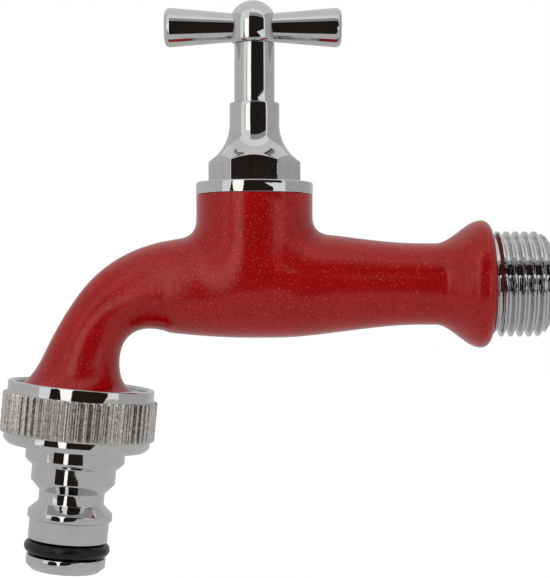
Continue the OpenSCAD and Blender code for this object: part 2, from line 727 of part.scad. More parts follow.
// Half section of the nose, drawn downwards from the nut's top
module nose_profile() {
  r_bore = nose_bore_d / 2;
  polygon([
    [r_bore, -nose_flange_z], [nose_flange_r, -nose_flange_z], [nose_flange_r, -nut_floor_z],
    [collar_d / 2, -nut_floor_z], [collar_d / 2, -collar_end + collar_chamfer],
    [collar_d / 2 - collar_chamfer, -collar_end], [step_d / 2, -collar_end],
    [step_d / 2, -step_end], [groove_d / 2, -groove_start], [groove_d / 2, -groove_end],
    [bead_d / 2, -bead_start], [bead_d / 2, -bead_end + 0.3], [nose_d / 2, -bead_end],
    [nose_d / 2, -barrel_end], [ring_seat_r, -barrel_end], [ring_seat_r, -lip_start],
    [nose_d / 2, -lip_start], [nose_d / 2, -nose_end + lip_chamfer],
    [nose_d / 2 - lip_chamfer, -nose_end], [r_bore, -nose_end]
  ]);
}

module nose_piece() { color("gainsboro") at_outlet() rotate_extrude() nose_profile(); }

module outlet_washer() {
  color("black") at_outlet() ring(nose_flange_r, nose_bore_d / 2 + 0.4, washer_h, -nose_flange_z);
}

module nose_o_ring() {
  color("black") at_outlet()
    o_ring((nose_ring_d - nose_ring_section) / 2, nose_ring_section, -barrel_end - ring_seat_w / 2);
}

tap_body();
bonnet();
bonnet_gasket();
spindle();
spindle_o_ring_upper();
spindle_o_ring_lower();
handle();
handle_grub_screw();
valve_jumper();
jumper_clip();
seat_washer();
seat_washer_nut();
union_nut();
nose_piece();
outlet_washer();
nose_o_ring();
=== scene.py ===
import math

import bpy
import numpy as np
from mathutils import Matrix, Vector


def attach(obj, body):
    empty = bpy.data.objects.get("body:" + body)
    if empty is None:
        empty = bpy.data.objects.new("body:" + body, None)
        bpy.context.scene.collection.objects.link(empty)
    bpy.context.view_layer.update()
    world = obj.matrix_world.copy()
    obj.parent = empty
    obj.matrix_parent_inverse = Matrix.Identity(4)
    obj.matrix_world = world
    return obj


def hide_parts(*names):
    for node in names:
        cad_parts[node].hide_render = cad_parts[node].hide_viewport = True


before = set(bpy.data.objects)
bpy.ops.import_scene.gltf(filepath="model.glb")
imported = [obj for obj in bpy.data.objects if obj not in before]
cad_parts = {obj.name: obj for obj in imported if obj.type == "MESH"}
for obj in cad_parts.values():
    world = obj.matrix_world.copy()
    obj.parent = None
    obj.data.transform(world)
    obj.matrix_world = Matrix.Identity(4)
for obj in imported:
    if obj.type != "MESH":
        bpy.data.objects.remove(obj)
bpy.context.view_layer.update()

MM = 0.001

# ---------------------------------------------------------------- sizes, in mm
# The same values as in the CAD source. The casting is worked out about the neck's axis.
REACH = 46.8
BELLY_R, WAIST_R, BELL_R = 10.45, 8.1, 12.65
WAIST_X, BELLY_X, BELL_START, BELL_RIM = 33.0, 5.0, 36.0, 1.9
BELL_X = REACH - BELL_RIM
RIM_END_R = 10.5275
BELLY_Z, SHOULDER_Z, SHOULDER_X = -0.25, -0.5, -17.0
SHOULDER_R_END = BELLY_R - 1.3
BARREL_X = 18.0
NECK_R, NECK_H, NECK_BLEND = 11.55, 17.7, 3.4
NECK_CORE_Z, NECK_CORE_SLOPE = 3.0, 1.15
TILT = math.radians(5.3)
OUTLET_P = np.array([-34.3, 0.0, -20.0])
OUTLET_UP = np.array([math.sin(TILT), 0.0, math.cos(TILT)])
FLARE_SINK = 0.6
FLARE_P = OUTLET_P - FLARE_SINK * OUTLET_UP - np.array([0.7, 0, 0])
SPOUT_A = np.array([SHOULDER_X, 0, SHOULDER_Z])
SPOUT_B = np.array([SHOULDER_X + (-34.3 - SHOULDER_X) * 0.607, 0, SHOULDER_Z - 0.2])
SPOUT_C = FLARE_P + 13 * OUTLET_UP
THROAT_R, FLARE_R, THROAT_T, FLARE_LIP = 6.4, 11.1, 0.58, 1.9
FLARE_SWELL = FLARE_R - THROAT_R - FLARE_LIP
INLET_R, INLET_ROOT_R, INLET_L = 10.4775, 9.3275, 11.4
PITCH = 1.814
OUTLET_R, OUTLET_ROOT_R = 13.22, 12.12
OUTLET_END = 8.0
NUT_BORE_R = 13.32
KNURL_R, KNURL_N, KNURL_D = 15.3, 60, 0.55
RIM_R = 14.5
RIM_TOP, KNURL_H, RIM_LOW = 2.25, 7.9, 2.2
NUT_H = RIM_TOP + KNURL_H + RIM_LOW
NUT_FLOOR = OUTLET_END + 1.4 + 1.3
COLLAR_R = 9.85
NUT_HOLE_R = COLLAR_R + 0.06
FLANGE_TOP = NECK_H + 2.4
BONNET_TOP = NECK_H + 18.2
HEX_A = 7.95
STEM_R = 4.0
HANDLE_Z = BONNET_TOP + 11.9
HUB_R = 4.65
BALL_Z = HANDLE_Z + 3.9

AT_NECK = Matrix.Translation((-REACH, 0, 0))
AT_OUTLET = Matrix.Translation((-REACH + OUTLET_P[0], 0, OUTLET_P[2])) @ Matrix.Rotation(TILT, 4, "Y")
AT_INLET = Matrix.Rotation(math.radians(90), 4, "Y")

# ---------------------------------------------------------------- mesh helpers


def make(name, verts, faces, place=None, angle=32.0, mats=(), face_mat=None):
    """A mesh object from points in mm, smooth shaded up to an angle."""
    v = np.asarray(verts, dtype=float)
    if place is not None:
        m = np.array(place)
        v = v @ m[:3, :3].T + m[:3, 3]
    me = bpy.data.meshes.new(name)
    me.from_pydata((v * MM).tolist(), [], [list(map(int, f)) for f in faces])
    me.validate()
    ob = bpy.data.objects.new(name, me)
    bpy.context.scene.collection.objects.link(ob)
    for m in mats:
        me.materials.append(m)
    if face_mat is not None:
        me.polygons.foreach_set("material_index", face_mat)
    smooth(ob, angle)
    return ob


def smooth(ob, angle):
    me = ob.data
    me.polygons.foreach_set("use_smooth", [True] * len(me.polygons))
    me.set_sharp_from_angle(angle=math.radians(angle))
    me.update()


def close_grid(rows, cols, flip=False):
    """Quads of a grid whose columns and rows both wrap round."""
    faces = []
    for r in range(rows):
        for c in range(cols):
            a, b = r * cols + c, r * cols + (c + 1) % cols
            d, e = ((r + 1) % rows) * cols + c, ((r + 1) % rows) * cols + (c + 1) % cols
            faces.append((a, d, e, b) if flip else (a, b, e, d))
    return faces


def rounded(points, radii, steps=5, closed=True):
    """A polyline with its corners turned into arcs, so that edges catch the light."""
    pts = [np.array(p, dtype=float) for p in points]
    n = len(pts)
    rr = radii if isinstance(radii, (list, tuple)) else [radii] * n
    out = []
    for i, p in enumerate(pts):
        if not closed and i in (0, n - 1):
            out.append(p)
            continue
        a, b = pts[i - 1], pts[(i + 1) % n]
        u, v = a - p, b - p
        lu, lv = np.linalg.norm(u), np.linalg.norm(v)
        u, v = u / lu, v / lv
        cosang = float(np.clip(np.dot(u, v), -1, 1))
        half = math.acos(cosang) / 2
        r = rr[i]
        if r <= 0 or half > math.radians(86):
            out.append(p)
            continue
        t = min(r / math.tan(half), lu * 0.48, lv * 0.48)
        r = t * math.tan(half)
        c = p + (u + v) / np.linalg.norm(u + v) * (r / math.sin(half))
        s, e = p + u * t - c, p + v * t - c
        turn = math.atan2(s[0] * e[1] - s[1] * e[0], float(np.dot(s, e)))
        for k in range(steps + 1):
            w = turn * k / steps
            out.append(c + np.array([s[0] * math.cos(w) - s[1] * math.sin(w), s[0] * math.sin(w) + s[1] * math.cos(w)]))
    return out


def lathe(name, profile, place, cols=160, angle=32.0, mats=()):
    """A closed outline of (radius, height) turned about Z."""
    pr = np.array(profile)
    th = np.arange(cols) / cols * 2 * math.pi
    v = np.stack(
        [np.outer(pr[:, 0], np.cos(th)), np.outer(pr[:, 0], np.sin(th)), np.repeat(pr[:, 1:2], cols, axis=1)], axis=-1
    ).reshape(-1, 3)
    area = 0.5 * np.sum(pr[:, 0] * np.roll(pr[:, 1], -1) - np.roll(pr[:, 0], -1) * pr[:, 1])
    return make(name, v, close_grid(len(pr), cols, flip=area < 0), place, angle, mats)


def boolean(ob, other, kind="DIFFERENCE", keep=False):
    mod = ob.modifiers.new("cut", "BOOLEAN")
    mod.operation = kind
    mod.solver = "EXACT"
    mod.object = other
    mod.material_mode = "TRANSFER"
    deps = bpy.context.evaluated_depsgraph_get()
    me = bpy.data.meshes.new_from_object(ob.evaluated_get(deps), depsgraph=deps)
    ob.modifiers.clear()
    old = ob.data
    ob.data = me
    bpy.data.meshes.remove(old)
    if not keep:
        drop(other)


def drop(ob):
    me = ob.data
    bpy.data.objects.remove(ob)
    bpy.data.meshes.remove(me)


def rod(a, b, r, mats=(), cols=72):
    """A closed cylinder between two points, in mm."""
    a, b = np.array(a, dtype=float), np.array(b, dtype=float)
    d = b - a
    length = np.linalg.norm(d)
    rot = Vector(d).to_track_quat("Z", "Y").to_matrix().to_4x4()
    th = np.arange(cols) / cols * 2 * math.pi
    ring = np.stack([r * np.cos(th), r * np.sin(th), 0 * th], axis=-1)
    v = np.concatenate([ring, ring + [0, 0, length]])
    f = [tuple(range(cols - 1, -1, -1)), tuple(range(cols, 2 * cols))]
    f += [(i, (i + 1) % cols, cols + (i + 1) % cols, cols + i) for i in range(cols)]
    return make("rod", v, f, Matrix.Translation(a.tolist()) @ rot, mats=mats)


def ball(c, r, mats=(), cols=48):
    pr = [(r * math.sin(t), -r * math.cos(t)) for t in np.linspace(0.002, math.pi - 0.002, cols // 2)]
    th = np.arange(cols) / cols * 2 * math.pi
    v, f = [], []
    for rad, z in pr:
        v += [(rad * math.cos(t), rad * math.sin(t), z) for t in th]
    n = len(pr)
    for i in range(n - 1):
        for k in range(cols):
            f.append((i * cols + k, i * cols + (k + 1) % cols, (i + 1) * cols + (k + 1) % cols, (i + 1) * cols + k))
    f += [tuple(range(cols - 1, -1, -1)), tuple(range((n - 1) * cols, n * cols))]
    return make("ball", v, f, Matrix.Translation(list(c)), mats=mats)


# ---------------------------------------------------------------- materials


def material(name):
    m = bpy.data.materials.new(name)
    m.use_nodes = True
    nt = m.node_tree
    return m, nt.nodes, nt.links, nt.nodes["Principled BSDF"]


def object_coords(nodes, links, scale=(1, 1, 1)):
    """Object coordinates in millimetres, as every piece keeps the frame's origin."""
    tc = nodes.new("ShaderNodeTexCoord")
    mp = nodes.new("ShaderNodeMapping")
    mp.inputs["Scale"].default_value = [1000 * s for s in scale]
    links.new(tc.outputs["Object"], mp.inputs["Vector"])
    return mp.outputs["Vector"]


def noise(nodes, links, vec, scale, detail=2.0, rough=0.5, distortion=0.0):
    n = nodes.new("ShaderNodeTexNoise")
    n.inputs["Scale"].default_value = scale
    n.inputs["Detail"].default_value = detail
    n.inputs["Roughness"].default_value = rough
    n.inputs["Distortion"].default_value = distortion
    links.new(vec, n.inputs["Vector"])
    return n.outputs["Fac"]


def voronoi(nodes, links, vec, scale, feature="F1", out="Distance"):
    n = nodes.new("ShaderNodeTexVoronoi")
    n.feature = feature
    n.inputs["Scale"].default_value = scale
    links.new(vec, n.inputs["Vector"])
    return n.outputs[out]


def remap(nodes, links, val, a, b, c, d, smooth_step=False):
    n = nodes.new("ShaderNodeMapRange")
    n.interpolation_type = "SMOOTHSTEP" if smooth_step else "LINEAR"
    for k, x in zip(("From Min", "From Max", "To Min", "To Max"), (a, b, c, d)):
        n.inputs[k].default_value = x
    links.new(val, n.inputs["Value"])
    return n.outputs["Result"]


def mix_rgb(nodes, links, fac, a, b, blend="MIX"):
    n = nodes.new("ShaderNodeMix")
    n.data_type = "RGBA"
    n.blend_type = blend
    for key, val in ((0, fac), (6, a), (7, b)):
        if hasattr(val, "is_output"):
            links.new(val, n.inputs[key])
        elif key == 0:
            n.inputs[0].default_value = val
        else:
            n.inputs[key].default_value = (*val, 1.0)
    return n.outputs[2]


def maths(nodes, links, op, a, b=None, clamp=False):
    n = nodes.new("ShaderNodeMath")
    n.operation = op
    n.use_clamp = clamp
    for i, val in enumerate((a, b)):
        if val is None:
            continue
        if hasattr(val, "is_output"):
            links.new(val, n.inputs[i])
        else:
            n.inputs[i].default_value = val
    return n.outputs[0]


def bump(nodes, links, height, distance, strength=1.0, normal=None):
    n = nodes.new("ShaderNodeBump")
    n.inputs["Distance"].default_value = distance * MM
    n.inputs["Strength"].default_value = strength
    links.new(height, n.inputs["Height"])
    if normal is not None:
        links.new(normal, n.inputs["Normal"])
    return n.outputs["Normal"]


def metal(name, dark, light, r0, r1, grain=0.6, ripple=0.0, micro=0.0, stretch=(1, 1, 1)):
    """Metal with uneven polish, faint haze and optional ripple in its surface."""
    m, n, l, p = material(name)
    v = object_coords(n, l, stretch)
    haze = noise(n, l, v, grain, 4, 0.6)
    fine = noise(n, l, v, grain * 9, 2, 0.5)
    l.new(mix_rgb(n, l, remap(n, l, haze, 0.3, 0.7, 0, 1, True), dark, light), p.inputs["Base Color"])
    both = maths(n, l, "MULTIPLY", haze, fine)
    l.new(remap(n, l, both, 0.08, 0.42, r0, r1), p.inputs["Roughness"])
    p.inputs["Metallic"].default_value = 1.0
    nrm = None
    if ripple:
        nrm = bump(n, l, noise(n, l, v, 0.35, 1, 0.4), ripple)
    if micro:
        nrm = bump(n, l, noise(n, l, v, 6, 3, 0.6), micro, 1.0, nrm)
    if nrm is not None:
        l.new(nrm, p.inputs["Normal"])
    return m


def soft(name, dark, light, rough, grain=2.0, depth=0.02):
    """Rubber or fibre with a fine grain."""
    m, n, l, p = material(name)
    v = object_coords(n, l)
    a = noise(n, l, v, grain, 4, 0.6)
    l.new(mix_rgb(n, l, remap(n, l, a, 0.35, 0.65, 0, 1, True), dark, light), p.inputs["Base Color"])
    l.new(remap(n, l, noise(n, l, v, grain * 3, 2), 0.3, 0.7, rough - 0.06, rough + 0.08), p.inputs["Roughness"])
    l.new(bump(n, l, noise(n, l, v, grain * 4, 3, 0.6), depth), p.inputs["Normal"])
    p.inputs["Specular IOR Level"].default_value = 0.3
    return m


def red_paint():
    m, n, l, p = material("red_paint")
    v = object_coords(n, l)
    cloud = noise(n, l, v, 0.12, 3, 0.55)
    grain = noise(n, l, v, 2.6, 4, 0.65)
    # Lighter orange dots in the base colour are painted glints, standing in for the sparkle of light off the paint
    glint_cells = voronoi(n, l, v, 4.2, out="Color")
    sep = n.new("ShaderNodeSeparateColor")
    l.new(glint_cells, sep.inputs["Color"])
    painted_glint = remap(n, l, sep.outputs["Red"], 0.9, 1.0, 0, 1)
    base = mix_rgb(n, l, remap(n, l, cloud, 0.3, 0.7, 0, 1, True), (0.205, 0.0004, 0.0016), (0.245, 0.0006, 0.002))
    base = mix_rgb(n, l, remap(n, l, grain, 0.35, 0.68, 0, 0.55), base, (0.3, 0.0016, 0.0026))
    base = mix_rgb(n, l, maths(n, l, "MULTIPLY", painted_glint, 0.4), base, (0.6, 0.07, 0.04))
    # A small star-shaped scuff low on the belly's front
    sub = n.new("ShaderNodeVectorMath")
    sub.operation = "DISTANCE"
    wob = n.new("ShaderNodeTexNoise")
    wob.inputs["Scale"].default_value = 1.6
    wob.inputs["Detail"].default_value = 3
    l.new(v, wob.inputs["Vector"])
    shift = n.new("ShaderNodeVectorMath")
    shift.operation = "MULTIPLY_ADD"
    l.new(wob.outputs["Color"], shift.inputs[0])
    shift.inputs[1].default_value = (2.6, 0.0, 2.2)
    l.new(v, shift.inputs[2])
    l.new(shift.outputs[0], sub.inputs[0])
    sub.inputs[1].default_value = (-57.0 + 1.3, -8.2, -6.0 + 1.1)
    spot = remap(n, l, sub.outputs["Value"], 0.15, 0.85, 1, 0, True)
    scratch = remap(n, l, noise(n, l, v, 2.2, 2, 0.5, 0.8), 0.5, 0.6, 0, 1, True)
    mark = maths(n, l, "MULTIPLY", spot, scratch)
    base = mix_rgb(n, l, mark, base, (0.035, 0.004, 0.004))
    l.new(base, p.inputs["Base Color"])
    l.new(remap(n, l, grain, 0.3, 0.7, 0.12, 0.2), p.inputs["Roughness"])
    p.inputs["Specular IOR Level"].default_value = 0.42
    p.inputs["Specular Tint"].default_value = (1.0, 0.82, 0.74, 1.0)
    peel = bump(n, l, noise(n, l, v, 1.1, 2, 0.5), 0.02)
    l.new(bump(n, l, grain, 0.022, 1.0, peel), p.inputs["Normal"])
    return m


chrome = metal("chrome", (0.57, 0.575, 0.575), (0.625, 0.63, 0.632), 0.02, 0.075, grain=0.25, ripple=0.012)
frosted = metal("frosted_chrome", (0.46, 0.43, 0.41), (0.70, 0.69, 0.68), 0.12, 0.36, grain=1.4, ripple=0.05, micro=0.03)
faced = metal("faced_chrome", (0.52, 0.52, 0.52), (0.6, 0.6, 0.6), 0.05, 0.14, grain=0.8, micro=0.006, stretch=(1, 1, 0.06))
brass = metal("brass", (0.52, 0.33, 0.12), (0.68, 0.47, 0.2), 0.22, 0.45, grain=0.5, micro=0.012)
steel = metal("steel", (0.38, 0.38, 0.39), (0.52, 0.52, 0.53), 0.2, 0.36, grain=0.9, micro=0.008)
rubber = soft("rubber", (0.003, 0.002, 0.004), (0.006, 0.005, 0.007), 0.26, grain=1.5, depth=0.006)
fibre = soft("fibre", (0.18, 0.055, 0.03), (0.28, 0.1, 0.05), 0.65, grain=2.5, depth=0.03)
paint = red_paint()

# ---------------------------------------------------------------- the casting's skin, as functions


def ease(t):
    c = np.clip(t, 0, 1)
    return c * c * (3 - 2 * c)


def mixf(a, b, t):
    return a + (b - a) * t


def unit(v):
    return v / np.linalg.norm(v, axis=-1, keepdims=True)


def barrel_r(x):
    x = np.asarray(x, dtype=float)
    u = np.clip((x - BELL_X) / BELL_RIM, 0, 1)
    rim = BELL_R - (BELL_R - RIM_END_R) * (1 - np.sqrt(1 - u * u))
    bell = mixf(WAIST_R, BELL_R, ease((x - BELL_START) / (BELL_X - BELL_START)))
    mid = mixf(WAIST_R, BELLY_R, ease((WAIST_X - x) / (WAIST_X - BELLY_X)))
    low = BELLY_R - (BELLY_R - SHOULDER_R_END) * (x / SHOULDER_X) ** 2
    return np.where(x > BELL_X, rim, np.where(x > BELL_START, bell, np.where(x > 0, mid, low)))


def barrel_z(x):
    x = np.asarray(x, dtype=float)
    return np.where(x > 0, BELLY_Z * ease(1 - x / BARREL_X), mixf(BELLY_Z, SHOULDER_Z, (x / SHOULDER_X) ** 2))


def skin_gap(p):
    x, y, z = p[..., 0], p[..., 1], p[..., 2]
    tube = np.hypot(y, z - barrel_z(x)) - barrel_r(x)
    neck = np.sqrt(x * x + y * y + (np.maximum(0, NECK_CORE_Z - z) * NECK_CORE_SLOPE) ** 2) - NECK_R
    h = np.maximum(0, NECK_BLEND - np.abs(tube - neck)) / NECK_BLEND
    return np.minimum(tube, neck) - h * h * NECK_BLEND / 4


def on_skin(start, direction):
    near, far = np.zeros(direction.shape[:-1]), np.full(direction.shape[:-1], 26.0)
    for _ in range(40):
        mid = (near + far) / 2
        inside = skin_gap(start + mid[..., None] * direction) < 0
        near, far = np.where(inside, mid, near), np.where(inside, far, mid)
    return start + ((near + far) / 2)[..., None] * direction


def spout_p(t):
    s = 1 - t
    return s**3 * SPOUT_A + 3 * s * s * t * SPOUT_B + 3 * s * t * t * SPOUT_C + t**3 * FLARE_P


def spout_dir(t):
    s = 1 - t
    return unit(s * s * (SPOUT_B - SPOUT_A) + 2 * s * t * (SPOUT_C - SPOUT_B) + t * t * (FLARE_P - SPOUT_C))


def spout_r(t):
    if t < THROAT_T:
        return THROAT_R + (SHOULDER_R_END - THROAT_R) * (1 - t / THROAT_T) ** 1.5
    u = (t - THROAT_T) / (1 - THROAT_T)
    return THROAT_R + FLARE_SWELL * u * u + FLARE_LIP * u**10


def casting():
    half = 60
    ring = 2 * half
    ang = 2 * math.pi * np.arange(ring) / ring
    side, up = np.array([0, 1.0, 0]), np.array([0, 0, 1.0])
    centre = np.array([0, 0, BELLY_Z])

    def ring_dir(one, other):
        s = np.sin(ang)[:, None]
        return np.cos(ang)[:, None] * side + np.where(s >= 0, s * one, -s * other)

    def seam(towards):
        a = math.pi * np.arange(1, half) / half
        return on_skin(centre, np.cos(a)[:, None] * side + np.sin(a)[:, None] * towards)

    def blend(sa, sb, end_p, ea, eb, n):
        out = []
        for k in range(1, n + 1):
            u = k / n
            d = unit(mixf(ring_dir(sa, sb), ring_dir(ea, eb), ease(u)))
            out.append(on_skin(mixf(centre, end_p, u), d))
        return out

    def plain(c, r, one):
        return c + r * ring_dir(one, -one)

    wall, spout, down = unit(np.array([1.0, 0, 1])), unit(np.array([-1.0, 0, 1])), -up
    xs = [mixf(BARREL_X, BELL_START, k / 12) for k in range(1, 13)]
    xs += [mixf(BELL_START, BELL_X, k / 20) for k in range(1, 21)]
    xs += [BELL_X + BELL_RIM * math.sin(math.radians(6 * k)) for k in range(1, 16)]
    barrel = blend(wall, down, np.array([BARREL_X, 0, 0]), up, -up, 24)
    barrel += [plain(np.array([x, 0, float(barrel_z(x))]), float(barrel_r(x)), up) for x in xs]
    neck = blend(wall, spout, np.array([0, 0, NECK_H - 3.7]), np.array([1.0, 0, 0]), np.array([-1.0, 0, 0]), 16)
    neck += [plain(np.array([0, 0, z]), NECK_R, np.array([1.0, 0, 0])) for z in (NECK_H - 2.4, NECK_H - 0.25)]
    neck += [plain(np.array([0, 0, NECK_H - 0.06]), NECK_R - 0.06, np.array([1.0, 0, 0]))]
    neck += [plain(np.array([0, 0, NECK_H]), NECK_R - 0.25, np.array([1.0, 0, 0]))]
    arm = blend(spout, down, SPOUT_A, up, -up, 20)
    ts = np.concatenate([np.linspace(0, 0.86, 36)[1:], np.linspace(0.86, 1, 16)[1:]])
    for t in ts:
        d = spout_dir(t)
        arm.append(plain(spout_p(t), spout_r(t), np.array([d[2], 0, -d[0]])))
    pts = [on_skin(centre, side[None]), on_skin(centre, -side[None]), seam(wall), seam(spout), seam(down)]
    base = [2 + 3 * (half - 1)]
    for rings in (barrel, neck, arm):
        pts += rings
        base.append(base[-1] + ring * len(rings))
    pts = np.concatenate(pts)

    def seam_i(s, i):
        return 0 if i == 0 else 1 if i == half else 2 + s * (half - 1) + i - 1

    def first(one, other, i):
        j = i % ring
        return seam_i(one, j) if j <= half else seam_i(other, ring - j)

    faces = []
    for (one, other, flip), rings, b in zip(((0, 2, False), (0, 1, True), (1, 2, True)), (barrel, neck, arm), base):
        for r in range(len(rings)):
            for i in range(ring):
                a = first(one, other, i) if r == 0 else b + (r - 1) * ring + i
                e = first(one, other, i + 1) if r == 0 else b + (r - 1) * ring + (i + 1) % ring
                c, d = b + r * ring + (i + 1) % ring, b + r * ring + i
                faces.append((a, e, c, d) if flip else (a, d, c, e))
        last = b + (len(rings) - 1) * ring
        cap = [last + i for i in range(ring)]
        faces.append(tuple(cap) if flip else tuple(cap[::-1]))
    ob = make("tap_casting", pts, faces, AT_NECK, mats=(paint, brass))

    # The way for the water
    seat_z, floor, bore = 2.4, BELLY_Z - BELLY_R + 3.1, 4.3
    outlet = OUTLET_P
    ba, bb, bc = spout_p(0.1), spout_p(0.55), outlet + 8.5 * OUTLET_UP
    tools = [
        rod((10.8, 0, 0), (REACH + 1, 0, 0), 6.5, (brass,)),
        rod((13.8, 0, -1.6), (1, 0, floor + 2.7), 3.7, (brass,)),
        rod((0, 0, floor), (0, 0, seat_z + 1.4), 4.5, (brass,)),
        rod((0, 0, seat_z), (0, 0, 10.2), 8.2, (brass,)),
        rod((0, 0, 8.7), (0, 0, NECK_H + 1), 9.1, (brass,)),
        rod((0, 0, NECK_H - 0.8), (0, 0, NECK_H + 1), 9.7, (brass,)),
        rod((-6.4, 0, 7.2), ba, bore - 0.4, (brass,)),
        ball(ba, bore - 0.2, (brass,)),
        rod(ba, bb, bore - 0.6, (brass,)),
        ball(bb, bore - 0.4, (brass,)),
        rod(bb, bc, bore - 0.5, (brass,)),
        ball(bc, bore - 0.2, (brass,)),
        rod(bc, outlet - 2 * OUTLET_UP, bore, (brass,)),
    ]
    for t in tools:
        t.data.transform(Matrix.Translation((-REACH * MM, 0, 0)))
        boolean(ob, t)
    smooth(ob, 38)
    return ob


# ---------------------------------------------------------------- threads


def tooth(f):
    """Height of a rounded thread, 0 to 1, at a share of its pitch. The crest is at 0."""
    d = np.abs((np.asarray(f) + 0.5) % 1 - 0.5) * 2
    return 0.5 + 0.5 * np.cos(math.pi * np.clip((d - 0.1) / 0.72, 0, 1))


def screw_surface(zs, radius, cols, inner, place, name, mats, angle=40.0):
    """A tube whose outside follows radius(angle, z), closed by an inner outline of (radius, z) points."""
    th = np.arange(cols) / cols * 2 * math.pi
    rows = [np.stack([radius(th, z) * np.cos(th), radius(th, z) * np.sin(th), np.full(cols, z)], -1) for z in zs]
    rows += [np.stack([r * np.cos(th), r * np.sin(th), np.full(cols, z)], -1) for r, z in inner]
    return make(name, np.concatenate(rows), close_grid(len(rows), cols), place, angle, mats)


def inlet_spigot():
    crest_at = 1.33
    zs = list(np.arange(0.0, INLET_L - 0.62, 0.075)) + list(np.linspace(INLET_L - 0.6, INLET_L, 9))

    def radius(th, z):
        # th is measured by the right hand about +X: the near side is where Y is least
        f = (z - crest_at) / PITCH - (th - math.pi) / (2 * math.pi)
        h = INLET_ROOT_R + (INLET_R - INLET_ROOT_R) * tooth(f)
        start = np.clip((z - 0.15) / 0.9, 0, 1)
        h = mixf(INLET_ROOT_R, h, start) if z < 1.05 else h
        limit = INLET_R - 0.02 if z < INLET_L - 2.2 else INLET_R - (z - (INLET_L - 2.2)) * 0.62
        # The end is turned to a rounded nose
        edge = INLET_L - z
        nose = 8.35 + math.sqrt(max(0.0, 0.6**2 - max(0.0, 0.6 - edge) ** 2)) if edge < 0.6 else 99
        return np.minimum(np.minimum(h, limit), nose)

    inner = rounded([(8.3, INLET_L), (6.5, INLET_L), (6.5, 0.0), (8.3, 0.0)], [0, 0.5, 0, 0], closed=True)
    inner = [tuple(q) for q in inner[:-1]] + [(6.5, 0.0)]
    return screw_surface(zs, radius, 240, inner, AT_INLET, "inlet_thread", (chrome,))


def outlet_spigot():
    start, end = -0.58, -OUTLET_END
    zs = list(np.arange(end, start, 0.09)) + [start]

    def radius(th, z):
        f = z / PITCH - th / (2 * math.pi)
        h = OUTLET_ROOT_R + (OUTLET_R - OUTLET_ROOT_R) * tooth(f)
        fade = np.clip((-z - 1.1) / 0.8, 0, 1)
        limit = OUTLET_R - max(0.0, 0.9 - (z - end)) * 0.9
        return np.minimum(mixf(OUTLET_ROOT_R, h, fade), limit)

    inner = [(10.8, start), (4.3, start), (4.3, end)]
    return screw_surface(zs, radius, 200, inner, AT_OUTLET, "outlet_thread", (chrome,))


# ---------------------------------------------------------------- the chrome headwork


def concave_r(z, c_r, c_z, r):
    return c_r - np.sqrt(max(0.0, r * r - (z - c_z) ** 2))


def bonnet_piece():
    c_r = 9.9 / 2 + 9.0
    hex_r = HEX_A / math.cos(math.radians(30))
    c_z = FLANGE_TOP + 4.1 + math.sqrt(81 - (c_r - hex_r) ** 2)
    corner = 0.28
    # Column angles crowd together at the hexagon's corners
    offs = np.concatenate([np.linspace(0, 3.0, 9), np.linspace(3.0, 30, 15)[1:]])
    one = np.concatenate([-offs[::-1], offs[1:]])[:-1]
    deg = np.concatenate([one + 60 * k for k in range(6)])
    rc = (HEX_A - corner) / math.cos(math.radians(30))
    d0 = math.degrees(math.atan2(corner * 0.5, rc + corner * math.cos(math.radians(30))))

    def hexr(a):
        d = abs((a + 30) % 60 - 30)
        if d < d0:
            s = math.radians(d)
            return rc * math.cos(s) + math.sqrt(corner**2 - (rc * math.sin(s)) ** 2)
        return HEX_A / math.cos(math.radians(30 - d))

    cols = []
    top_r = 9.9 / 2
    for a in deg:
        h = hexr(a)
        dz = math.sqrt(max(0.0, 81 - (c_r - h) ** 2))
        zc = c_z - dz
        prof = [(h + 0.55, FLANGE_TOP - 0.02), (h + 0.16, FLANGE_TOP + 0.06), (h, FLANGE_TOP + 0.35)]
        prof += [(h, mixf(FLANGE_TOP + 0.35, zc - 0.14, k / 4)) for k in range(1, 5)]
        # A small rounding where the turned shoulder meets the flat
        a0 = math.atan2(-(dz), h - c_r)
        nxt = (c_r + 9 * math.cos(a0 - 0.035), c_z + 9 * math.sin(a0 - 0.035))
        prof += [(h - 0.035, zc - 0.02), (mixf(h, nxt[0], 0.55), mixf(zc, nxt[1], 0.5))]
        a1 = -math.pi
        for k in range(1, 25):
            w = mixf(a0 - 0.035, a1, k / 24)
            prof.append((c_r + 9 * math.cos(w), c_z + 9 * math.sin(w)))
        prof += [(top_r, mixf(c_z, BONNET_TOP - 0.28, 0.5)), (top_r, BONNET_TOP - 0.28)]
        prof += [(top_r - 0.08, BONNET_TOP - 0.08), (top_r - 0.28, BONNET_TOP)]
        inner = [(STEM_R + 0.3, BONNET_TOP), (STEM_R + 0.06, BONNET_TOP - 0.24), (STEM_R + 0.06, 23.75), (5.6, 23.75)]
        inner += [(5.6, 12.5), (7.0, 12.5), (7.0, 9.7), (8.205, 9.7), (8.205, 16.4), (8.205, NECK_H)]
        fl = rounded(
            [(8.205, NECK_H), (11.6, NECK_H), (11.6, FLANGE_TOP), (9.9, FLANGE_TOP)], [0, 0.12, 0.35, 0], 5, closed=False
        )
        cols.append(prof + inner + [tuple(q) for q in fl[1:]])
    n = len(cols[0])
    v = np.zeros((n, len(deg), 3))
    for k, (a, prof) in enumerate(zip(deg, cols)):
        pr = np.array(prof)
        v[:, k, 0], v[:, k, 1] = pr[:, 0] * math.cos(math.radians(a)), pr[:, 0] * math.sin(math.radians(a))
        v[:, k, 2] = pr[:, 1]
    ob = make("bonnet_chrome", v.reshape(-1, 3), close_grid(n, len(deg)), AT_NECK, 30, (chrome, faced))
    # The hexagon's flats were faced with a file or mill
    me = ob.data
    for poly in me.polygons:
        c = poly.center / MM
        if FLANGE_TOP + 0.3 < c.z < FLANGE_TOP + 3.9 and abs(poly.normal.z) < 0.05:
            if math.hypot(c.x + REACH, c.y) > 7.7:
                poly.material_index = 1
    return ob


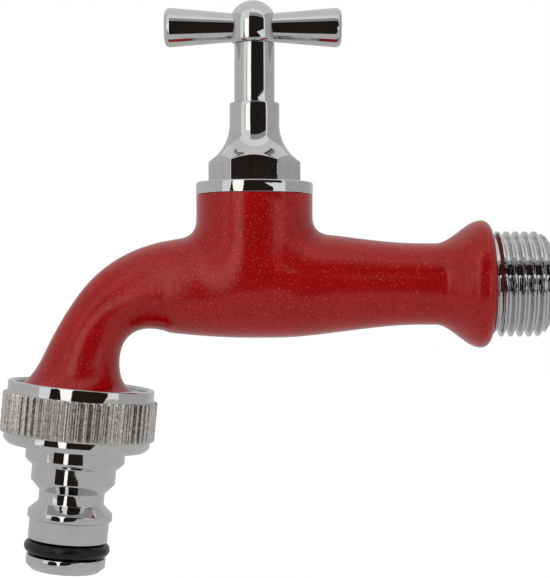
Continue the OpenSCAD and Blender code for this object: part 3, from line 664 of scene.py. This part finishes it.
def spindle_piece():
    zf = 18.5
    pr = [(2.7, 6.3)]
    pr += [(4.7, 6.3), (4.7, 8.5)]
    for k in range(5):
        z = 8.5 + (k + 0.5) * 1.75
        pr += [(4.7, z - 0.735), (5.5, z - 0.16), (5.5, z + 0.16), (4.7, z + 0.735)]
    pr += [(4.7, 17.5), (4.0, zf)]
    for z in (25.35, 27.95):
        pr += [(4.0, z - 0.9), (2.56, z - 0.9), (2.56, z + 0.9), (4.0, z + 0.9)]
    pr += [(4.0, HANDLE_Z - 0.2), (3.8, HANDLE_Z), (0.02, HANDLE_Z), (0.02, 13.9), (2.66, 13.9), (2.66, 12.0)]
    pr += [(3.0, 11.95), (3.0, 11.1), (2.66, 11.05)]
    pr = rounded(pr, 0.05, 2)
    ob = lathe("spindle_stem", pr, AT_NECK, 160, 30, (chrome,))
    t = 2.5
    v = [(x * t, y * t, z) for z in (HANDLE_Z - 0.01, HANDLE_Z + 4.6) for x, y in ((-1, -1), (1, -1), (1, 1), (-1, 1))]
    v += [(x * (t - 0.4), y * (t - 0.4), HANDLE_Z + 5) for x, y in ((-1, -1), (1, -1), (1, 1), (-1, 1))]
    f = [(3, 2, 1, 0), (8, 9, 10, 11)]
    for b in (0, 4):
        f += [(b + i, b + (i + 1) % 4, b + 4 + (i + 1) % 4, b + 4 + i) for i in range(4)]
    tang = make("tang", v, f, AT_NECK, 30, (chrome,))
    join(ob, tang)
    return ob


def join(ob, other):
    with bpy.context.temp_override(active_object=ob, selected_editable_objects=[ob, other]):
        bpy.ops.object.join()


def handle_piece():
    place = AT_NECK @ Matrix.Translation((-0.3, 0, 0))
    foot = 0.65
    pr = [(0.02, BALL_Z + HUB_R)]
    pr += [(HUB_R * math.sin(a), BALL_Z + HUB_R * math.cos(a)) for a in np.linspace(0.02, math.pi / 2, 40)]
    pr += [(HUB_R, HANDLE_Z + foot), (HUB_R - 0.12, HANDLE_Z + 0.4), (HUB_R - foot, HANDLE_Z), (0.02, HANDLE_Z)]
    ob = lathe("handle_chrome", pr, place, 160, 32, (chrome,))
    root, end, length, rnd = 2.85, 3.975, 17.55, 1.1
    arm = [(0.02, 0.5), (root, 0.5), (root, HUB_R - 0.5), (end, length), (0.02, length)]
    arm = rounded(arm, [0, 0, 2.0, rnd, 0], 9)
    for way in (1, -1):
        m = place @ Matrix.Translation((0, 0, BALL_Z - 0.75)) @ Matrix.Rotation(math.radians(90 * way), 4, "Y")
        a = lathe("arm", arm, m, 144, 32, (chrome,))
        boolean(ob, a, "UNION")
    w = 2.55
    cube = [(x * w - (-0.3), y * w, z) for z in (HANDLE_Z - 1, HANDLE_Z + 5.2) for x, y in ((-1, -1), (1, -1), (1, 1), (-1, 1))]
    f = [(3, 2, 1, 0), (4, 5, 6, 7)] + [(i, (i + 1) % 4, 4 + (i + 1) % 4, 4 + i) for i in range(4)]
    boolean(ob, make("hole", cube, f, place, mats=(chrome,)))
    hole = rod((0.3, 0, HANDLE_Z + 2.2), (0.3, 9, HANDLE_Z + 2.2), 1.3, (chrome,))
    hole.data.transform(Matrix.Translation(((-REACH - 0.3) * MM, 0, 0)))
    boolean(ob, hole)
    smooth(ob, 32)
    return ob


# ---------------------------------------------------------------- union nut, nose and ring


def nut_piece():
    sub = 12
    cols = KNURL_N * sub
    th = np.arange(cols) / cols * 2 * math.pi
    f = (np.arange(cols) % sub) / sub
    d = np.abs((f + 0.5) % 1 - 0.5) * 2
    wave = 0.5 + 0.5 * np.cos(math.pi * np.clip((d - 0.18) / 0.7, 0, 1))
    # No two ridges of a rolled knurl are quite alike
    rng = np.random.default_rng(7)
    high = np.repeat(rng.uniform(-0.05, 0.02, KNURL_N), sub)
    z1, z2 = -RIM_TOP, -RIM_TOP - KNURL_H
    rows = []

    def plain(r, z):
        rows.append((np.full(cols, r), np.full(cols, z)))

    def knurled(share, z, cap=99.0):
        rr = (KNURL_R + high) * wave + (KNURL_R - KNURL_D) * (1 - wave)
        rows.append((np.minimum(mixf(RIM_R, rr, share), cap), np.full(cols, z)))

    for r, z in rounded([(NUT_BORE_R + 0.2, 0), (RIM_R, 0), (RIM_R, z1)], [0, 0.28, 0], 5, closed=False)[:-1]:
        plain(r, z)
    plain(RIM_R, z1 + 0.12)
    plain(RIM_R, z1)
    knurled(0.72, z1 - 0.04)
    knurled(0.93, z1 - 0.16)
    knurled(1.0, z1 - 0.38)
    for k in range(1, 12):
        knurled(1.0, mixf(z1 - 0.38, z2 + 0.38, k / 12))
    knurled(1.0, z2 + 0.38)
    knurled(0.93, z2 + 0.16)
    knurled(0.72, z2 + 0.04)
    plain(RIM_R, z2)
    low = rounded([(RIM_R, z2), (RIM_R, -NUT_H + 0.9), (RIM_R - 0.9, -NUT_H), (NUT_HOLE_R, -NUT_H)], [0, 0.5, 0.3, 0], 4, closed=False)
    plain(RIM_R, z2 - 0.1)
    for r, z in low[1:]:
        plain(r, z)
    plain(NUT_HOLE_R, -NUT_H + 0.3)
    plain(NUT_HOLE_R, -NUT_FLOOR)
    plain(NUT_BORE_R - 0.3, -NUT_FLOOR)
    plain(NUT_BORE_R, -NUT_FLOOR + 0.3)
    plain(NUT_BORE_R, -OUTLET_END - 0.4)
    # Inside thread, in step with the outlet's
    for z in np.arange(-OUTLET_END - 0.3, -0.9, 0.09):
        f2 = z / PITCH - th / (2 * math.pi)
        ext = OUTLET_ROOT_R + (OUTLET_R - OUTLET_ROOT_R) * tooth(f2) + 0.14
        fade = np.clip(min((-0.95 - z) / 0.9, (z + OUTLET_END + 0.3) / 0.9), 0, 1)
        rows.append((mixf(NUT_BORE_R, np.minimum(ext, NUT_BORE_R), fade), np.full(cols, z)))
    plain(NUT_BORE_R, -0.8)
    plain(NUT_BORE_R, -0.45)
    plain(NUT_BORE_R + 0.12, -0.15)
    v = np.concatenate([np.stack([r * np.cos(th), r * np.sin(th), z], -1) for r, z in rows])
    ob = make("union_nut_chrome", v, close_grid(len(rows), cols), AT_OUTLET, 34, (chrome, frosted))
    me = ob.data
    inv = (AT_OUTLET.inverted()).to_3x3()
    org = AT_OUTLET.translation
    for poly in me.polygons:
        q = inv @ (poly.center / MM - org)
        if z2 - 0.02 < q.z < z1 + 0.02 and math.hypot(q.x, q.y) > 14.4:
            poly.material_index = 1
    fix_normals(ob)
    return ob


def fix_normals(ob):
    """Turns the faces outward if the outline ran the other way round."""
    me = ob.data
    vol = 0.0
    me.calc_loop_triangles()
    for t in me.loop_triangles:
        a, b, c = (me.vertices[i].co for i in t.vertices)
        vol += a.dot(b.cross(c))
    if vol < 0:
        me.flip_normals()
    smooth(ob, 34)


def nose():
    top = -(OUTLET_END + 1.4)
    g0 = -(NUT_H + 3.7 + 3.2 + 2.0)
    g1 = g0 - 2.2
    b0 = g1 - 1.8
    b1 = b0 - 1.6
    e = b1 - 4.0
    s1 = e - 3.1
    end = s1 - 2.9
    c_end = -(NUT_H + 3.7)
    pts = [
        (4.8, top, 0.3), (12.82, top, 0.1), (12.82, -NUT_FLOOR, 0.1), (9.85, -NUT_FLOOR, 0.1),
        (9.85, c_end + 1.0, 0.4), (8.85, c_end, 0.25), (8.35, c_end, 0.12), (8.35, c_end - 3.2, 0.3),
        (6.5, g0, 0.35), (6.5, g1, 0.35), (8.4, b0, 0.35), (8.4, b1 + 0.3, 0.2), (7.9, b1, 0.12),
        (7.9, e, 0.22), (5.88, e, 0.3), (5.88, s1, 0.3), (7.9, s1, 0.25), (7.9, end + 1.1, 0.4),
        (6.8, end, 0.3), (4.8, end, 0.4),
    ]
    pr = rounded([p[:2] for p in pts], [p[2] for p in pts], 5)
    ob = lathe("nose_chrome", pr, AT_OUTLET, 200, 30, (chrome,))
    fix_normals(ob)
    ring_z = e - 1.55
    sec = 1.3
    pr = [(7.2 + sec * math.cos(a), ring_z + sec * math.sin(a)) for a in np.arange(48) / 48 * 2 * math.pi]
    ring = lathe("nose_ring_rubber", pr, AT_OUTLET, 160, 60, (rubber,))
    fix_normals(ring)
    return ob, ring


# ---------------------------------------------------------------- build

body_piece = casting()
pieces = [
    (body_piece, "body", ("tap_body",), "red_paint"),
    (inlet_spigot(), "body", ("tap_body",), "chrome_plate"),
    (outlet_spigot(), "body", ("tap_body",), "chrome_plate"),
    (bonnet_piece(), "body", ("bonnet",), "chrome_plate"),
    (spindle_piece(), "spindle", ("spindle",), "chrome_plate"),
    (handle_piece(), "spindle", ("handle",), "chrome_plate"),
    (nut_piece(), "nut", ("union_nut",), "chrome_plate"),
]
nose_ob, ring_ob = nose()
pieces += [
    (nose_ob, "connector", ("nose_piece",), "chrome_plate"),
    (ring_ob, "connector", ("nose_o_ring",), "black_rubber"),
]
for ob, body, nodes, slot in pieces:
    if ob.name != "tap_casting":
        fix_normals(ob)
    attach(ob, body)
    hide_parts(*nodes)

for name, mat in {
    "bonnet_gasket": fibre,
    "spindle_o_ring_upper": rubber,
    "spindle_o_ring_lower": rubber,
    "handle_grub_screw": steel,
    "valve_jumper": brass,
    "jumper_clip": steel,
    "seat_washer": rubber,
    "seat_washer_nut": brass,
    "outlet_washer": rubber,
}.items():
    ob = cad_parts[name]
    for s in ob.material_slots:
        s.material = mat

# ---------------------------------------------------------------- floor, cards, lights and camera


def plane(name, pts, mat, camera=True, only_glossy=False):
    me = bpy.data.meshes.new(name)
    me.from_pydata([[c * MM for c in p] for p in pts], [], [tuple(range(len(pts)))])
    ob = bpy.data.objects.new(name, me)
    bpy.context.scene.collection.objects.link(ob)
    me.materials.append(mat)
    ob.visible_camera = camera
    if only_glossy:
        ob.visible_diffuse = False
        ob.visible_shadow = False
        ob.visible_transmission = False
        ob.visible_volume_scatter = False
    return ob


def floor_material():
    m, n, l, p = material("floor")
    n.remove(p)
    out = n["Material Output"]
    v = object_coords(n, l)
    dif = n.new("ShaderNodeBsdfDiffuse")
    l.new(mix_rgb(n, l, noise(n, l, v, 0.01, 2), (0.68, 0.68, 0.68), (0.70, 0.70, 0.70)), dif.inputs["Color"])
    em = n.new("ShaderNodeEmission")
    em.inputs["Strength"].default_value = 0.36
    add = n.new("ShaderNodeAddShader")
    l.new(dif.outputs[0], add.inputs[0])
    l.new(em.outputs[0], add.inputs[1])
    l.new(add.outputs[0], out.inputs["Surface"])
    return m


def glow_material(name, color, strength):
    m, n, l, p = material(name)
    n.remove(p)
    em = n.new("ShaderNodeEmission")
    em.inputs["Color"].default_value = (*color, 1)
    em.inputs["Strength"].default_value = strength
    l.new(em.outputs[0], n["Material Output"].inputs["Surface"])
    return m


S = 1500
FLOOR_Z = -67.0
plane("floor", [(-S, -S, FLOOR_Z), (S, -S, FLOOR_Z), (S, S, FLOOR_Z), (-S, S, FLOOR_Z)], floor_material())
dark = glow_material("card_dark", (1.0, 0.72, 0.62), 0.02)
lit = glow_material("card_lit", (1.0, 0.98, 0.93), 1.65)
fade = glow_material("card_fade", (1.0, 0.95, 0.93), 0.4)
CY = -104.0
for name, mat, pts in (
    ("card_main", dark, [(-101, -66), (-46, -66), (30, -28), (30, 21), (-10, 35), (101, 45), (101, 112), (-83, 112), (-83, 30)]),
    ("card_left", dark, [(-182, -66), (-114, -66), (-137, 40), (-137, 90), (-147, 90), (-147, 40)]),
    ("card_high", fade, [(-83, 112), (-83, 165), (101, 165), (101, 112)]),
    ("card_strip", lit, [(-114, -66), (-101, -66), (-83, 30), (-83, 90), (-137, 90), (-137, 40)]),
):
    plane(name, [(x, CY, z) for x, z in pts], mat, camera=False, only_glossy=True)
# Grey cards to the sides, behind and just over the floor, which only the metal sees
for name, grey, pts in (
    ("card_right", 0.52, [(150, CY, FLOOR_Z), (150, 250, FLOOR_Z), (150, 250, 200), (150, CY, 200)]),
    ("card_far_left", 0.62, [(-250, CY, FLOOR_Z), (-250, 250, FLOOR_Z), (-250, 250, 200), (-250, CY, 200)]),
    ("card_top", 0.8, [(-250, -60, 200), (150, -60, 200), (150, 250, 200), (-250, 250, 200)]),
    ("card_back", 0.6, [(-250, 250, FLOOR_Z), (150, 250, FLOOR_Z), (150, 250, 200), (-250, 250, 200)]),
    ("card_low", 0.6, [(-300, -300, FLOOR_Z + 1), (300, -300, FLOOR_Z + 1), (300, 300, FLOOR_Z + 1), (-300, 300, FLOOR_Z + 1)]),
):
    plane(name, pts, glow_material(name, (1.0, 0.985, 0.98), grey), camera=False, only_glossy=True)


def area(name, loc, size, power, color=(1, 1, 1)):
    li = bpy.data.lights.new(name, "AREA")
    li.shape = "RECTANGLE"
    li.size, li.size_y = size
    li.energy = power
    li.color = color
    ob = bpy.data.objects.new(name, li)
    bpy.context.scene.collection.objects.link(ob)
    ob.location = [c * MM for c in loc]
    aim = Vector((-47 * MM, 0, 0)) - ob.location
    ob.rotation_mode = "QUATERNION"
    ob.rotation_quaternion = aim.to_track_quat("-Z", "Y")
    ob.visible_glossy = False
    return ob


area("key", (-300, -320, 420), (0.25, 0.25), 0.85)
area("fill", (260, -260, 300), (0.2, 0.3), 0.25)

world = bpy.data.worlds.new("studio")
bpy.context.scene.world = world
world.use_nodes = True
wn, wl = world.node_tree.nodes, world.node_tree.links
wn.clear()
out = wn.new("ShaderNodeOutputWorld")
path = wn.new("ShaderNodeLightPath")
geo = wn.new("ShaderNodeTexCoord")
sep = wn.new("ShaderNodeSeparateXYZ")
wl.new(geo.outputs["Generated"], sep.inputs[0])
sky = mix_rgb(wn, wl, remap(wn, wl, sep.outputs["Z"], -0.1, 0.9, 0, 1, True), (0.62, 0.63, 0.645), (1.0, 1.0, 1.0))
light = wn.new("ShaderNodeBackground")
wl.new(sky, light.inputs["Color"])
light.inputs["Strength"].default_value = 1.0
white = wn.new("ShaderNodeBackground")
white.inputs["Color"].default_value = (1, 1, 1, 1)
mixs = wn.new("ShaderNodeMixShader")
seen = maths(wn, wl, "MAXIMUM", path.outputs["Is Camera Ray"], path.outputs["Is Glossy Ray"])
seen = maths(wn, wl, "MAXIMUM", seen, path.outputs["Is Transmission Ray"])
wl.new(seen, mixs.inputs[0])
wl.new(light.outputs[0], mixs.inputs[1])
wl.new(white.outputs[0], mixs.inputs[2])
wl.new(mixs.outputs[0], out.inputs["Surface"])

cam = bpy.data.cameras.new("camera")
cam.sensor_width = 36
cam.lens = 1509 / 578 * 36
cam.clip_start, cam.clip_end = 0.01, 20
cam_ob = bpy.data.objects.new("camera", cam)
bpy.context.scene.collection.objects.link(cam_ob)
cam_ob.location = (-42.72 * MM, -300 * MM, -1.0 * MM)
cam_ob.rotation_euler = (math.radians(90), 0, 0)
bpy.context.scene.camera = cam_ob
bpy.context.scene.view_settings.view_transform = "Standard"
